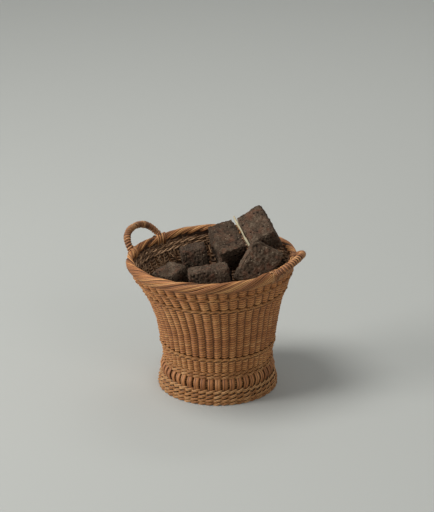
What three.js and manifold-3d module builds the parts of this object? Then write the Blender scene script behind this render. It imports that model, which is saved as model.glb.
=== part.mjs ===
// Peat basket: a footed basket of peeled willow, twined on 48 stakes, with a rolled
// border and two wrapped handles, filled with loose blocks of cut peat.
// Millimetres, +Z up, the floor at height zero, +X to the right and -Y to the front.
import * as THREE from 'three'
import { mergeVertices } from 'three/addons/utils/BufferGeometryUtils.js'
import Module from 'manifold-3d'

const wasm = await Module()
wasm.setup()

// Gaps between pieces
const clearance = 0.3

// Stakes and weave
const stakeCount = 48
const stakeWidth = 6
const stakeThickness = 5
const weaveThickness = 4
const ribDepth = 2.6
const lineProud = 1.5
const hoopHeight = 4

// Foot: the rows' thickness is measured outwards from the slats
const slatFootRadius = 130
const footBottomRowThickness = 11.5
const footMiddleRowThickness = 9.5
const footTopRowThickness = 7
const footBottomRowHeight = 15
const footMiddleRowHeight = 10.5
const footTopRowHeight = 10.5
const rowRoundness = 3
const footInnerThickness = 8
const slatGapHeight = 25
const slatWidth = 12.5
const slatThickness = 3
const slatBulge = 3
const slatFloorGap = 2

// Waist and base
const waleRowHeight = 8.5
const waistInset = 1.5
const waleDepth = 5.6
const waleLowerProud = 1.2
const waleRoundness = 1
const baseStickCount = 8
const baseStickWidth = 7
const baseStickHeight = 4
const baseWeaveHeight = 3

// Wall bands, from the waist up
const lowerBandHeight = 28
const lineLowHeight = 11
const mainBandHeight = 123
const lineMiddleHeight = 11
const upperBandLowHeight = 25
const lineHighHeight = 8
const upperBandHighHeight = 13

// Outer line of the wall: where its slope changes, in shares of the main band's height,
// and how much of the flare from waist to wall top is reached there
const wallFlare = 63
const mainMiddleShare = 0.44
const mainMiddleFlareShare = 0.246
const shoulderShare = 0.805
const shoulderFlareShare = 0.429
const lineMiddleFlareShare = 0.659

// The used basket leans to the left and is a little out of round towards its rim
const rimLean = 12.8
const rimOval = 8

// Border
const borderInset = 3
const borderWidth = 23
const borderHeight = 31
const borderStrands = 12
const borderStrandDepth = 1.5

// Handles
const handleSpan = 123
const leftHandleRise = 52
const rightHandleRise = 57
const leftHandleTurnAngle = 152
const rightHandleTurnAngle = -20
const leftHandleLeanAngle = 32
const rightHandleLeanAngle = 45
const handleCoreRadius = 3.5
const handleSteps = 20
const wrapRadius = 1.6
const wrapTurns = 22
const wrapStepsPerTurn = 6
const wrapFootGap = 1

// Peat: one block's usual edge as a share of the wall top's radius, the lowest blocks'
// edge as a share of the base's radius, and their height
const peatSizeShare = 0.43342
const deepSizeShare = 0.6523
const peatDeepHeight = 113.5
const reedThickness = 4
const reedWidth = 9

const waistRadius = slatFootRadius - waistInset
const wallTopRadius = waistRadius + wallFlare
const peatSize = wallTopRadius * peatSizeShare

const degree = Math.PI / 180
const columnStep = 2 * Math.PI / stakeCount

// How far a flat face of a given width stands out past the many-sided ring behind it
const flatBow = (width) => width / 2 * Math.tan(columnStep / 2)

// Finishes
const finish = (color, roughness) => (
  new THREE.MeshStandardMaterial({ color, roughness, metalness: 0 })
)
const willow = finish(0x7d5a3c, 0.65)
const willowDark = finish(0x5c4330, 0.75)
const willowPale = finish(0x92694a, 0.6)
const peat = finish(0x54453a, 0.95)
const peatDeep = finish(0x40342b, 0.95)
const reed = finish(0xc9bb98, 0.8)

const basket = new THREE.Group()
const addPiece = (name, geometry, material) => {
  const mesh = new THREE.Mesh(geometry, material)
  mesh.name = name
  basket.add(mesh)
  return mesh
}

// A closed mesh with only its positions, each shared vertex held once
const weld = (geometry) => {
  const bare = geometry.clone()
  bare.deleteAttribute('normal')
  bare.deleteAttribute('uv')
  return mergeVertices(bare)
}

const toSolid = (geometry) => {
  const welded = weld(geometry)
  const vertProperties = Float32Array.from(welded.attributes.position.array)
  const triVerts = Uint32Array.from(welded.index.array)
  return new wasm.Manifold(new wasm.Mesh({ numProp: 3, vertProperties, triVerts }))
}

const fromSolid = (solid) => {
  const mesh = solid.getMesh()
  const geometry = new THREE.BufferGeometry()
  geometry.setAttribute('position', new THREE.BufferAttribute(mesh.vertProperties, mesh.numProp))
  geometry.setIndex(new THREE.BufferAttribute(mesh.triVerts, 1))
  return geometry
}

const fromPoints = (points, index) => {
  const geometry = new THREE.BufferGeometry().setFromPoints(points)
  geometry.setIndex(index)
  return geometry
}

// Band heights, worked out from the floor up
const footMiddleBottom = footBottomRowHeight
const footTopBottom = footMiddleBottom + footMiddleRowHeight
const footTop = footTopBottom + footTopRowHeight
const waleBottom = footTop + slatGapHeight
const waleMiddle = waleBottom + waleRowHeight
const waist = waleMiddle + waleRowHeight
const lowerBandTop = waist + lowerBandHeight
const lineLowTop = lowerBandTop + lineLowHeight
const mainTop = lineLowTop + mainBandHeight
const lineMiddleTop = mainTop + lineMiddleHeight
const upperBandLowTop = lineMiddleTop + upperBandLowHeight
const lineHighTop = upperBandLowTop + lineHighHeight
const wallTop = lineHighTop + upperBandHighHeight
const borderMiddle = wallTop + clearance + borderHeight / 2
const borderTop = wallTop + clearance + borderHeight

// The wall's outer line: straight between these heights. The share says how much of
// the rim's lean and of its out-of-round shape has set in there.
const mainMiddle = lineLowTop + mainBandHeight * mainMiddleShare
const shoulder = lineLowTop + mainBandHeight * shoulderShare
const flared = (share) => THREE.MathUtils.lerp(waistRadius, wallTopRadius, share)
const wallLine = [
  { height: waist, radius: flared(0), rimShare: 0 },
  { height: mainMiddle, radius: flared(mainMiddleFlareShare), rimShare: 0.08 },
  { height: shoulder, radius: flared(shoulderFlareShare), rimShare: 0.33 },
  { height: lineMiddleTop, radius: flared(lineMiddleFlareShare), rimShare: 0.52 },
  { height: wallTop, radius: flared(1), rimShare: 1 },
]

const wallAt = (height) => {
  const last = wallLine.length - 1
  if (height <= wallLine[0].height) return wallLine[0]
  if (height >= wallLine[last].height) return wallLine[last]
  const upper = wallLine.findIndex((knot) => knot.height > height)
  const low = wallLine[upper - 1]
  const high = wallLine[upper]
  const share = (height - low.height) / (high.height - low.height)
  return {
    radius: THREE.MathUtils.lerp(low.radius, high.radius, share),
    rimShare: THREE.MathUtils.lerp(low.rimShare, high.rimShare, share),
  }
}

// A point at a radius about the leaning axis, at an angle and a height
const place = (radius, angle, height) => {
  const { rimShare } = wallAt(height)
  const out = radius + rimOval * rimShare * Math.sin(2 * angle)
  return new THREE.Vector3(
    out * Math.cos(angle) - rimLean * rimShare,
    out * Math.sin(angle),
    height,
  )
}

// A closed hoop: sectionAt gives its section at a column as [radius, height] pairs,
// listed up the outside and down the inside
const ring = (columns, sectionAt) => {
  const points = []
  const index = []
  const size = sectionAt(0).length
  for (let column = 0; column < columns; column += 1) {
    const angle = column * 2 * Math.PI / columns
    for (const [radius, height] of sectionAt(column)) points.push(place(radius, angle, height))
  }
  for (let column = 0; column < columns; column += 1) {
    const next = (column + 1) % columns
    for (let corner = 0; corner < size; corner += 1) {
      const after = (corner + 1) % size
      const here = column * size
      const there = next * size
      index.push(here + corner, there + corner, there + after)
      index.push(here + corner, there + after, here + after)
    }
  }
  return fromPoints(points, index)
}

// One rope-like row: flat behind, rounded in front
const rowRing = (inner, outer, bottom, top, roundness) => ring(stakeCount, () => [
  [inner, bottom],
  [outer - roundness, bottom],
  [outer, (bottom + top) / 2],
  [outer - roundness, top],
  [inner, top],
])

const heightsBetween = (bottom, top) => [
  bottom,
  ...wallLine.map((knot) => knot.height).filter((height) => height > bottom && height < top),
  top,
]

// A band of wall between two depths behind the wall's outer line
const bandRing = (bottom, top, outerDepth, innerDepth, ribbed) => {
  const heights = heightsBetween(bottom, top)
  const columns = ribbed ? 2 * stakeCount : stakeCount
  return ring(columns, (column) => {
    const valley = ribbed && column % 2 === 1 ? ribDepth : 0
    const outside = heights.map((height) => [wallAt(height).radius - outerDepth - valley, height])
    const inside = heights.map((height) => [wallAt(height).radius - innerDepth, height])
    return [...outside, ...inside.reverse()]
  })
}

const outerBand = (bottom, top) => bandRing(bottom + clearance, top, 0, weaveThickness, true)

// One twined line that stands out from the wall
const lineBand = (bottom, top) => ring(stakeCount, () => {
  const low = bottom + clearance
  const middle = (low + top) / 2
  return [
    [wallAt(low).radius, low],
    [wallAt(middle).radius + lineProud, middle],
    [wallAt(top).radius, top],
    [wallAt(top).radius - weaveThickness, top],
    [wallAt(low).radius - weaveThickness, low],
  ]
})

// Upright strips on every column of the wall, joined at their lower ends by a hoop of
// their own thickness. The line lists each strip's outer face upwards as [radius, height]
// pairs, and the hoop lies between its first two.
const postCorners = 4
const postsOnHoop = (width, thickness, line) => {
  const points = []
  const index = []
  const face = (first, second, third, fourth) => {
    index.push(first, second, third, first, third, fourth)
  }
  const postSize = postCorners * line.length
  for (let column = 0; column < stakeCount; column += 1) {
    const angle = column * columnStep
    const along = new THREE.Vector3(-Math.sin(angle), Math.cos(angle), 0).multiplyScalar(width / 2)
    for (const [radius, height] of line) {
      const outer = place(radius, angle, height)
      const inner = place(radius - thickness, angle, height)
      points.push(outer.clone().sub(along), outer.clone().add(along))
      points.push(inner.clone().add(along), inner.clone().sub(along))
    }
    const post = column * postSize
    const next = (column + 1) % stakeCount * postSize
    const top = post + postSize - postCorners
    face(post, post + 3, post + 2, post + 1)
    face(top, top + 1, top + 2, top + 3)
    face(post, post + 1, post + 5, post + 4)
    face(post + 2, post + 3, post + 7, post + 6)
    for (let level = 1; level < line.length - 1; level += 1) {
      const low = post + postCorners * level
      for (let corner = 0; corner < postCorners; corner += 1) {
        const here = low + corner
        const after = low + (corner + 1) % postCorners
        face(here, after, after + postCorners, here + postCorners)
      }
    }
    // The hoop's stretch from this strip to the next one
    face(post + 1, next, next + 4, post + 5)
    face(post + 5, next + 4, next + 7, post + 6)
    face(post + 6, next + 7, next + 3, post + 2)
    face(post + 2, next + 3, next, post + 1)
  }
  return fromPoints(points, index)
}

// Foot rows and the slats inside them
const rowInner = slatFootRadius + clearance + flatBow(slatWidth)
const footRows = [
  { name: 'foot_row_bottom', bottom: 0, top: footMiddleBottom, thickness: footBottomRowThickness },
  {
    name: 'foot_row_middle',
    bottom: footMiddleBottom,
    top: footTopBottom,
    thickness: footMiddleRowThickness,
  },
  { name: 'foot_row_top', bottom: footTopBottom, top: footTop, thickness: footTopRowThickness },
]
for (const row of footRows) {
  const bottom = row.bottom > 0 ? row.bottom + clearance : row.bottom
  const outer = slatFootRadius + row.thickness
  addPiece(row.name, rowRing(rowInner, outer, bottom, row.top, rowRoundness), willow)
}

const slatInner = slatFootRadius - slatThickness
const footInnerOuter = slatInner - clearance
addPiece('foot_inner_weave', ring(stakeCount, () => [
  [footInnerOuter, 0],
  [footInnerOuter, footTop],
  [footInnerOuter - footInnerThickness + rowRoundness, footTop],
  [footInnerOuter - footInnerThickness, footTop / 2],
  [footInnerOuter - footInnerThickness + rowRoundness, 0],
]), willowDark)

const slatTop = waist - clearance
const slatWaleRadius = waistRadius - waleDepth
const slatLine = [
  [slatFootRadius, slatFloorGap],
  [slatFootRadius, slatFloorGap + hoopHeight],
  [slatFootRadius, footTop + clearance],
  [slatFootRadius + slatBulge, footTop + slatGapHeight / 2],
  [slatWaleRadius, waleBottom - clearance],
  [slatWaleRadius, slatTop],
]
addPiece('foot_slats', postsOnHoop(slatWidth, slatThickness, slatLine), willowPale)

// Two rows of wale round the waist
const waleInner = slatWaleRadius + clearance + flatBow(slatWidth)
addPiece(
  'waist_wale_lower',
  rowRing(waleInner, waistRadius + waleLowerProud, waleBottom, waleMiddle, waleRoundness),
  willow,
)
addPiece(
  'waist_wale_upper',
  rowRing(waleInner, waistRadius, waleMiddle + clearance, waist, waleRoundness),
  willow,
)

// Base: crossed sticks between two woven discs
const baseRadius = slatWaleRadius - slatThickness - clearance
const baseTop = waist - clearance
const baseStickTop = baseTop - baseWeaveHeight - clearance
const baseStickBottom = baseStickTop - baseStickHeight
const baseBottom = baseStickBottom - clearance - baseWeaveHeight
const baseDisc = (bottom) => {
  const disc = new THREE.CylinderGeometry(baseRadius, baseRadius, baseWeaveHeight, stakeCount)
  disc.rotateX(Math.PI / 2)
  disc.rotateZ(Math.PI / 2)
  disc.translate(0, 0, bottom + baseWeaveHeight / 2)
  return weld(disc)
}
addPiece('base_weave_upper', baseDisc(baseTop - baseWeaveHeight), willowDark)
addPiece('base_weave_lower', baseDisc(baseBottom), willowDark)

const stickLength = 2 * (baseRadius - clearance)
const baseStick = (turn) => {
  const stick = new THREE.BoxGeometry(stickLength, baseStickWidth, baseStickHeight)
  stick.rotateZ(turn)
  stick.translate(0, 0, (baseStickBottom + baseStickTop) / 2)
  return toSolid(stick)
}
let baseSticks = baseStick(0)
for (let count = 1; count < baseStickCount / 2; count += 1) {
  baseSticks = baseSticks.add(baseStick(count * 2 * Math.PI / baseStickCount))
}
addPiece('base_sticks', fromSolid(baseSticks), willow)

// Wall: stakes between an outer and an inner weave
const stakeOuterDepth = weaveThickness + clearance + flatBow(stakeWidth)
const stakeInnerDepth = stakeOuterDepth + stakeThickness
const innerOuterDepth = stakeInnerDepth + clearance
const innerInnerDepth = innerOuterDepth + weaveThickness

const stakeBottom = waist + clearance
const stakeLine = [stakeBottom, ...heightsBetween(stakeBottom + hoopHeight, wallTop)]
  .map((height) => [wallAt(height).radius - stakeOuterDepth, height])
addPiece('side_stakes', postsOnHoop(stakeWidth, stakeThickness, stakeLine), willow)

const wovenBands = [
  { name: 'lower_band_weave', bottom: waist, top: lowerBandTop },
  { name: 'main_wall_weave', bottom: lineLowTop, top: mainTop },
  { name: 'upper_band_low', bottom: lineMiddleTop, top: upperBandLowTop },
  { name: 'upper_band_high', bottom: lineHighTop, top: wallTop },
]
for (const band of wovenBands) addPiece(band.name, outerBand(band.bottom, band.top), willow)

const twinedLines = [
  { name: 'twined_line_low', bottom: lowerBandTop, top: lineLowTop },
  { name: 'twined_line_middle', bottom: mainTop, top: lineMiddleTop },
  { name: 'twined_line_high', bottom: upperBandLowTop, top: lineHighTop },
]
for (const line of twinedLines) addPiece(line.name, lineBand(line.bottom, line.top), willowPale)

const innerBottom = baseTop + clearance
addPiece(
  'inner_wall_weave',
  bandRing(innerBottom, wallTop, innerOuterDepth, innerInnerDepth, false),
  willowDark,
)

// Rolled border, with a socket for each leg of the two handles. Its strands lie side by
// side and climb once round the roll while they pass as many stakes as there are strands.
const borderRadius = wallTopRadius - borderInset
const borderSection = (column) => Array.from({ length: 2 * borderStrands }, (_, corner) => {
  const turn = (corner / 2 + column) * 2 * Math.PI / borderStrands - Math.PI
  const depth = corner % 2 === 1 ? borderStrandDepth : 0
  return [
    borderRadius + (borderWidth / 2 - depth) * Math.cos(turn),
    borderMiddle + (borderHeight / 2 - depth) * Math.sin(turn),
  ]
})
let border = toSolid(ring(stakeCount, borderSection))

// Half an ellipse that stands on the border's middle line and leans outwards
class HandleArch extends THREE.Curve {
  constructor(turn, lean, rise) {
    super()
    const half = Math.asin(handleSpan / 2 / borderRadius)
    const first = place(borderRadius, turn * degree - half, borderMiddle)
    const second = place(borderRadius, turn * degree + half, borderMiddle)
    this.middle = first.clone().add(second).multiplyScalar(0.5)
    this.across = first.clone().sub(second).multiplyScalar(0.5)
    const outward = new THREE.Vector3(this.across.y, -this.across.x, 0).normalize()
    if (outward.dot(this.middle) < 0) outward.negate()
    this.leg = outward.multiplyScalar(Math.sin(lean * degree)).setZ(Math.cos(lean * degree))
    this.up = this.leg.clone().multiplyScalar(rise)
    this.acrossDirection = this.across.clone().normalize()
    this.sideways = this.acrossDirection.clone().cross(this.leg)
  }

  getPoint(share) {
    const turn = Math.PI * share
    return this.middle.clone()
      .addScaledVector(this.across, Math.cos(turn))
      .addScaledVector(this.up, Math.sin(turn))
  }
}

// The stretch of a curve between two shares of its run
class Stretch extends THREE.Curve {
  constructor(curve, from, to) {
    super()
    this.pointAt = (share) => curve.getPoint(THREE.MathUtils.lerp(from, to, share))
  }

  getPoint(share) {
    return this.pointAt(share)
  }
}

// A strand wound round the arch. It leaves each end straight along the leg, and its
// turns set in over the length of one turn.
class Winding extends THREE.Curve {
  constructor(arch, from, to, orbit, straightShare) {
    super()
    this.arch = arch
    this.from = from
    this.to = to
    this.orbit = orbit
    this.straightShare = straightShare
    this.easeShare = 1 / wrapTurns
  }

  turned(share) {
    const run = 1 - 2 * this.straightShare
    const at = THREE.MathUtils.clamp((share - this.straightShare) / run, 0, 1)
    const ease = this.easeShare
    const full = 1 - ease
    if (at < ease) return at * at / (2 * ease) / full
    if (at > 1 - ease) return 1 - (1 - at) * (1 - at) / (2 * ease) / full
    return (at - ease / 2) / full
  }

  getPoint(share) {
    const along = THREE.MathUtils.lerp(this.from, this.to, share)
    const turn = 2 * Math.PI * wrapTurns * this.turned(share)
    const tangent = this.arch.getTangent(along)
    const inward = this.arch.sideways.clone().cross(tangent)
    return this.arch.getPoint(along)
      .addScaledVector(inward, this.orbit * Math.cos(turn))
      .addScaledVector(this.arch.sideways, this.orbit * Math.sin(turn))
  }
}

const roundTube = (curve, radius, sides, steps) => {
  const corners = Array.from({ length: sides }, (_, side) => {
    const turn = side * 2 * Math.PI / sides
    return new THREE.Vector2(radius * Math.cos(turn), radius * Math.sin(turn))
  })
  curve.arcLengthDivisions = 4 * steps
  const shape = new THREE.Shape(corners)
  return weld(new THREE.ExtrudeGeometry(shape, { steps, bevelEnabled: false, extrudePath: curve }))
}

// The least gap between the strand of a winding and its own other turns
const leastGap = (winding, radius, samplesPerTurn) => {
  const samples = wrapTurns * samplesPerTurn
  const points = Array.from({ length: samples + 1 }, (_, at) => winding.getPoint(at / samples))
  const turns = points.map((_, at) => wrapTurns * winding.turned(at / samples))
  let least = Infinity
  for (let here = 0; here <= samples; here += 1) {
    for (let there = here + 1; there <= samples; there += 1) {
      if (turns[there] - turns[here] > 0.5) {
        least = Math.min(least, points[here].distanceTo(points[there]) - 2 * radius)
      }
    }
  }
  return least
}

const coreSides = 6
const shareStep = 0.001
const wrapSides = 4
const gapSamplesPerTurn = 24
const sleeveRadius = handleCoreRadius + clearance
const socketRadius = sleeveRadius / Math.cos(Math.PI / coreSides)
const wrapOrbit = sleeveRadius / Math.cos(Math.PI / wrapStepsPerTurn) + wrapRadius

const addHandle = (name, turn, lean, rise) => {
  const arch = new HandleArch(turn, lean, rise)
  const length = arch.getLength()
  border = border.subtract(toSolid(roundTube(arch, socketRadius, coreSides, handleSteps)))
  const coreShare = 2 * clearance / length
  const core = new Stretch(arch, coreShare, 1 - coreShare)
  addPiece(`${name}_handle_core`, roundTube(core, handleCoreRadius, coreSides, handleSteps), willow)
  const wrapOuter = wrapOrbit + wrapRadius
  const wrapReach = wrapOuter * handleSpan / 2 / borderRadius * Math.sin(lean * degree)
  const borderAlongLeg = Math.hypot(
    borderWidth / 2 * Math.sin(lean * degree),
    borderHeight / 2 * Math.cos(lean * degree),
  )
  // The first share of the arch at which a disc across the strand clears the border
  let wrapShare = 0
  while (
    arch.getPoint(wrapShare).sub(arch.middle).dot(arch.leg)
    - wrapOuter * Math.abs(arch.getTangent(wrapShare).dot(arch.acrossDirection))
    < borderAlongLeg + wrapReach + wrapFootGap
  ) wrapShare += shareStep
  const straightShare = 2 * wrapRadius / length
  const winding = new Winding(arch, wrapShare, 1 - wrapShare, wrapOrbit, straightShare)
  const steps = (wrapTurns + 1) * wrapStepsPerTurn
  addPiece(`${name}_handle_wrap`, roundTube(winding, wrapRadius, wrapSides, steps), willowPale)
  const gap = leastGap(winding, wrapRadius, gapSamplesPerTurn)
  console.log(`${name} handle wrap, least gap to itself: ${gap.toFixed(2)} mm`)
}
addHandle('left', leftHandleTurnAngle, leftHandleLeanAngle, leftHandleRise)
addHandle('right', rightHandleTurnAngle, rightHandleLeanAngle, rightHandleRise)
addPiece('border', fromSolid(border), willow)

// Loose peat blocks: places and sizes in shares of a block's usual edge, measured from
// the middle of the rim, and turns in degrees about X, Y and Z
const peatBlocks = [
  {
    name: 'peat_back_right',
    placeShares: [1.332, 0.389, 0.426],
    sizeShares: [0.795, 1.145, 0.843],
    turns: [28, -29, 8],
  },
  {
    name: 'peat_middle',
    placeShares: [0.389, 0.265, 0.033],
    sizeShares: [0.7, 1.17, 0.89],
    turns: [23, -13, 15],
  },
  {
    name: 'peat_front_right',
    placeShares: [1.236, -0.789, -0.127],
    sizeShares: [0.871, 1.249, 0.437],
    turns: [67, 31, -1],
  },
  {
    name: 'peat_front_middle',
    placeShares: [-0.065, -1.097, -0.474],
    sizeShares: [1.118, 0.768, 0.841],
    turns: [-7, -7, 6],
  },
  {
    name: 'peat_back_left',
    placeShares: [-0.478, 0.255, -0.371],
    sizeShares: [0.727, 0.795, 0.841],
    turns: [-8, -11, 6],
  },
  {
    name: 'peat_front_left',
    placeShares: [-1.124, -0.559, -0.662],
    sizeShares: [0.726, 0.794, 0.771],
    turns: [13, -4, -43],
  },
]

const rimMiddle = new THREE.Vector3(-rimLean, 0, borderTop)

// Turns and moves a shape from the middle of a block to that block's place
const atBlock = (block, geometry) => {
  const [x, y, z] = block.turns.map((turn) => turn * degree)
  const [right, back, up] = block.placeShares.map((share) => share * peatSize)
  geometry.applyMatrix4(new THREE.Matrix4().makeRotationFromEuler(new THREE.Euler(x, y, z, 'ZYX')))
  geometry.translate(rimMiddle.x + right, rimMiddle.y + back, rimMiddle.z + up)
  return weld(geometry)
}
const peatMesh = (block) => {
  const [width, depth, height] = block.sizeShares.map((share) => share * peatSize)
  return atBlock(block, new THREE.BoxGeometry(width, depth, height))
}
const peatSolids = peatBlocks.map((block) => toSolid(peatMesh(block)))
peatBlocks.forEach((block, at) => addPiece(block.name, fromSolid(peatSolids[at]), peat))

// Four blocks on the base fill the bottom of the basket
const deepBottom = baseTop + clearance
const deepTop = deepBottom + peatDeepHeight
const deepSize = baseRadius * deepSizeShare
const deepGap = 1
for (const side of [-1, 1]) {
  for (const face of [-1, 1]) {
    const block = new THREE.BoxGeometry(deepSize, deepSize, peatDeepHeight)
    const step = (deepSize + deepGap) / 2
    block.translate(side * step, face * step, (deepBottom + deepTop) / 2)
    const name = `peat_deep_${face > 0 ? 'back' : 'front'}_${side > 0 ? 'right' : 'left'}`
    addPiece(name, weld(block), peatDeep)
  }
}

// Blocks of the second layer: each reaches up to the lowest point above it
const underBlocks = [
  { name: 'peat_under_back_right', placeShares: [0.934, 0.422], sizeShares: [0.855, 0.771] },
  { name: 'peat_under_front_right', placeShares: [0.934, -0.422], sizeShares: [0.855, 0.771] },
  { name: 'peat_under_back_middle', placeShares: [0, 0.422], sizeShares: [0.795, 0.771] },
  { name: 'peat_under_front_middle', placeShares: [0, -0.331], sizeShares: [0.795, 0.59] },
  { name: 'peat_under_back_left', placeShares: [-0.892, 0.422], sizeShares: [0.771, 0.771] },
  { name: 'peat_under_left', placeShares: [-0.892, -0.331], sizeShares: [0.771, 0.59] },
  { name: 'peat_under_front', placeShares: [-0.422, -0.94], sizeShares: [0.723, 0.53] },
]
const underBottom = deepTop + clearance
for (const block of underBlocks) {
  const [width, depth] = block.sizeShares.map((share) => share * peatSize)
  const [right, back] = block.placeShares.map((share) => share * peatSize)
  const reach = 2 * borderTop
  const shaft = new THREE.BoxGeometry(width, depth, reach)
  shaft.translate(right, back, underBottom + reach / 2)
  const column = toSolid(shaft)
  const lowest = Math.min(...peatSolids
    .map((solid) => solid.intersect(column))
    .filter((cut) => !cut.isEmpty())
    .map((cut) => cut.boundingBox().min[2]))
  const top = lowest - clearance
  const geometry = new THREE.BoxGeometry(width, depth, top - underBottom)
  geometry.translate(right, back, (underBottom + top) / 2)
  addPiece(block.name, weld(geometry), peatDeep)
}

// A bleached reed stem lies along the left face of the top block
const reedBlock = peatBlocks[0]
const [reedSide, reedLength, reedTop] = reedBlock.sizeShares.map((share) => share * peatSize)
const reedStem = new THREE.BoxGeometry(reedThickness, reedLength, reedWidth)
reedStem.translate(-(reedSide + reedThickness) / 2 - clearance, 0, reedTop / 2 - reedWidth)
addPiece('reed_stem', atBlock(reedBlock, reedStem), reed)

// The origin lies on the floor under the middle of the whole object
const extent = new THREE.Box3().setFromObject(basket)
const middle = extent.getCenter(new THREE.Vector3())
basket.position.set(-middle.x, -middle.y, 0)

const model = new THREE.Group()
model.add(basket)

export default model
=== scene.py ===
"""Looks for a footed basket of twined willow, heaped with dried blocks of peat.

Sizes are written in millimetres and turned to metres where they enter a mesh or a tree.
Angles run round the basket's foot, seen from above, from +X towards +Y.
"""
import math

import bpy
import numpy as np
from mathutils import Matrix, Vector, noise


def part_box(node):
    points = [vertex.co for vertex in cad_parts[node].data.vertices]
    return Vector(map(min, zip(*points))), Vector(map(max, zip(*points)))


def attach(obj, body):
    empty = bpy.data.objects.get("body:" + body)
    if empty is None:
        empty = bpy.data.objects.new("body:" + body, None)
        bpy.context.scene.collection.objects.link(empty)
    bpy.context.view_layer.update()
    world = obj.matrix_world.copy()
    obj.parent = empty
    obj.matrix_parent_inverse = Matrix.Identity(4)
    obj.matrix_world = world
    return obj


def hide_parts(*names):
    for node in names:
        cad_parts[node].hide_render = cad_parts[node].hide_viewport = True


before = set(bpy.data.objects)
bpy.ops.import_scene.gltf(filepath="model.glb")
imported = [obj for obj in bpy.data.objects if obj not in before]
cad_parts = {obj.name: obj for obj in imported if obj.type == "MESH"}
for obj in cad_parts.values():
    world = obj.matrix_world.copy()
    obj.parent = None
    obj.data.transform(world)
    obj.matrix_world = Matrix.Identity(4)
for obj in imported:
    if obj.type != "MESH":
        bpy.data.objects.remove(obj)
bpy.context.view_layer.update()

MM = 0.001
TURN = 2 * math.pi
STAKES = 48
STAKE_STEP = TURN / STAKES

foot_low, foot_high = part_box("foot_row_bottom")
FOOT_AXIS = (foot_low[0] + foot_high[0]) / 2 / MM

# Outer line of the basket: height, radius, and the share of the rim's lean that has set in
OUTLINE = np.array([
    (0, 141.5, 0), (10, 141.5, 0), (20, 139.4, 0), (31, 136.8, 0), (36, 136, 0),
    (61, 129.9, 0), (70, 129.2, 0), (78, 128.5, 0), (109, 133.8, 0.02), (140, 138.9, 0.05),
    (171, 144, 0.08), (186, 147.7, 0.16), (201, 151.5, 0.25), (216, 155.5, 0.33),
    (231, 161.4, 0.41), (251, 170, 0.52), (276, 182, 0.78), (297, 191.5, 1),
    (340, 191.5, 1),
])
OUTLINE_TOP = 340
OUTLINE_REACH = 200
RIM_LEAN = 12.8
RIM_OVAL = 8

# Heights where the bands end, from the foot up
FOOT_ROWS = ((0, 15), (15, 25.5), (25.5, 36))
WAIST_LOW, WAIST_MIDDLE, WAIST_HIGH = 61, 69.5, 78
LOWER_TOP, LINE_LOW_TOP = 106, 117
MAIN_TOP, LINE_MIDDLE_TOP = 240, 251
UPPER_LOW_TOP, LINE_HIGH_TOP = 276, 284

# The CAD border's ring, and the roll of rods that keeps inside it
BORDER_RADIUS = 188.5
BORDER_MIDDLE = 312.8
ROLL_RADIUS = 188.8
ROLL_WIDTH = 18
ROLL_HEIGHT = 25.5
ROLL_MIDDLE = 311.8
ROLL_BOTTOM = 301
# Where the rim sags: its middle and spread in degrees, and its depth
RIM_SAGS = ((40, 28, 5.5), (137, 30, 5.0))

# Angles of the handles in degrees, the distance between their feet, and half of it as an angle
HANDLE_TURNS = (152, -20)
HANDLE_SPAN = 123
HALF_HANDLE = math.asin(HANDLE_SPAN / 2 / BORDER_RADIUS)


def on_wall(radius, angle, height):
    """Points in millimetres at a radius about the leaning axis."""
    share = np.interp(height, OUTLINE[:, 0], OUTLINE[:, 2])
    out = radius + RIM_OVAL * share * np.sin(2 * angle)
    return np.stack([
        FOOT_AXIS - RIM_LEAN * share + out * np.cos(angle),
        out * np.sin(angle),
        height + 0 * angle,
    ], axis=-1)


def outwards(angle):
    """The level directions away from the basket's axis."""
    return np.stack([np.cos(angle), np.sin(angle), 0 * angle], -1)


def wall_radius(height):
    """The basket's outer radius at a height."""
    return np.interp(height, OUTLINE[:, 0], OUTLINE[:, 1])


def roll_height(angle):
    """The middle height of the border's roll round the rim."""
    degrees = np.degrees(angle) % 360
    height = np.full_like(degrees, ROLL_MIDDLE)
    for middle, spread, depth in RIM_SAGS:
        height -= depth * np.exp(-((degrees - middle) / spread) ** 2)
    return height


def linear(hex_colour):
    """An sRGB hex colour as linear red, green, blue and alpha."""
    channels = [int(hex_colour[at:at + 2], 16) / 255 for at in (0, 2, 4)]
    return tuple(
        value / 12.92 if value <= 0.04045 else ((value + 0.055) / 1.055) ** 2.4
        for value in channels
    ) + (1.0,)


def connect(tree, node, links):
    """Gives inputs of a node, known by name or number, a value, a node or a socket."""
    for key, value in links.items():
        if isinstance(key, str):
            socket = next(s for s in node.inputs if s.enabled and s.name == key)
        else:
            socket = node.inputs[key]
        if isinstance(value, bpy.types.Node):
            value = next(s for s in value.outputs if s.enabled)
        if isinstance(value, bpy.types.NodeSocket):
            tree.links.new(value, socket)
        else:
            socket.default_value = value


def add(tree, kind, links=None, **settings):
    """Adds a node with its settings and its links."""
    node = tree.nodes.new(kind)
    for name, value in settings.items():
        setattr(node, name, value)
    connect(tree, node, links or {})
    return node


def new_tree(name, inputs):
    """A geometry tree with a geometry input and the named inputs, and its input sockets."""
    tree = bpy.data.node_groups.new(name, "GeometryNodeTree")
    face = tree.interface
    face.new_socket("Geometry", in_out="OUTPUT", socket_type="NodeSocketGeometry")
    face.new_socket("Geometry", in_out="INPUT", socket_type="NodeSocketGeometry")
    for label, kind in inputs:
        face.new_socket(label, in_out="INPUT", socket_type="NodeSocket" + kind)
    given = add(tree, "NodeGroupInput").outputs
    return tree, given


def linked(name, data):
    """A new object in the scene for a mesh, a lamp or a camera."""
    thing = bpy.data.objects.new(name, data)
    bpy.context.collection.objects.link(thing)
    return thing


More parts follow.
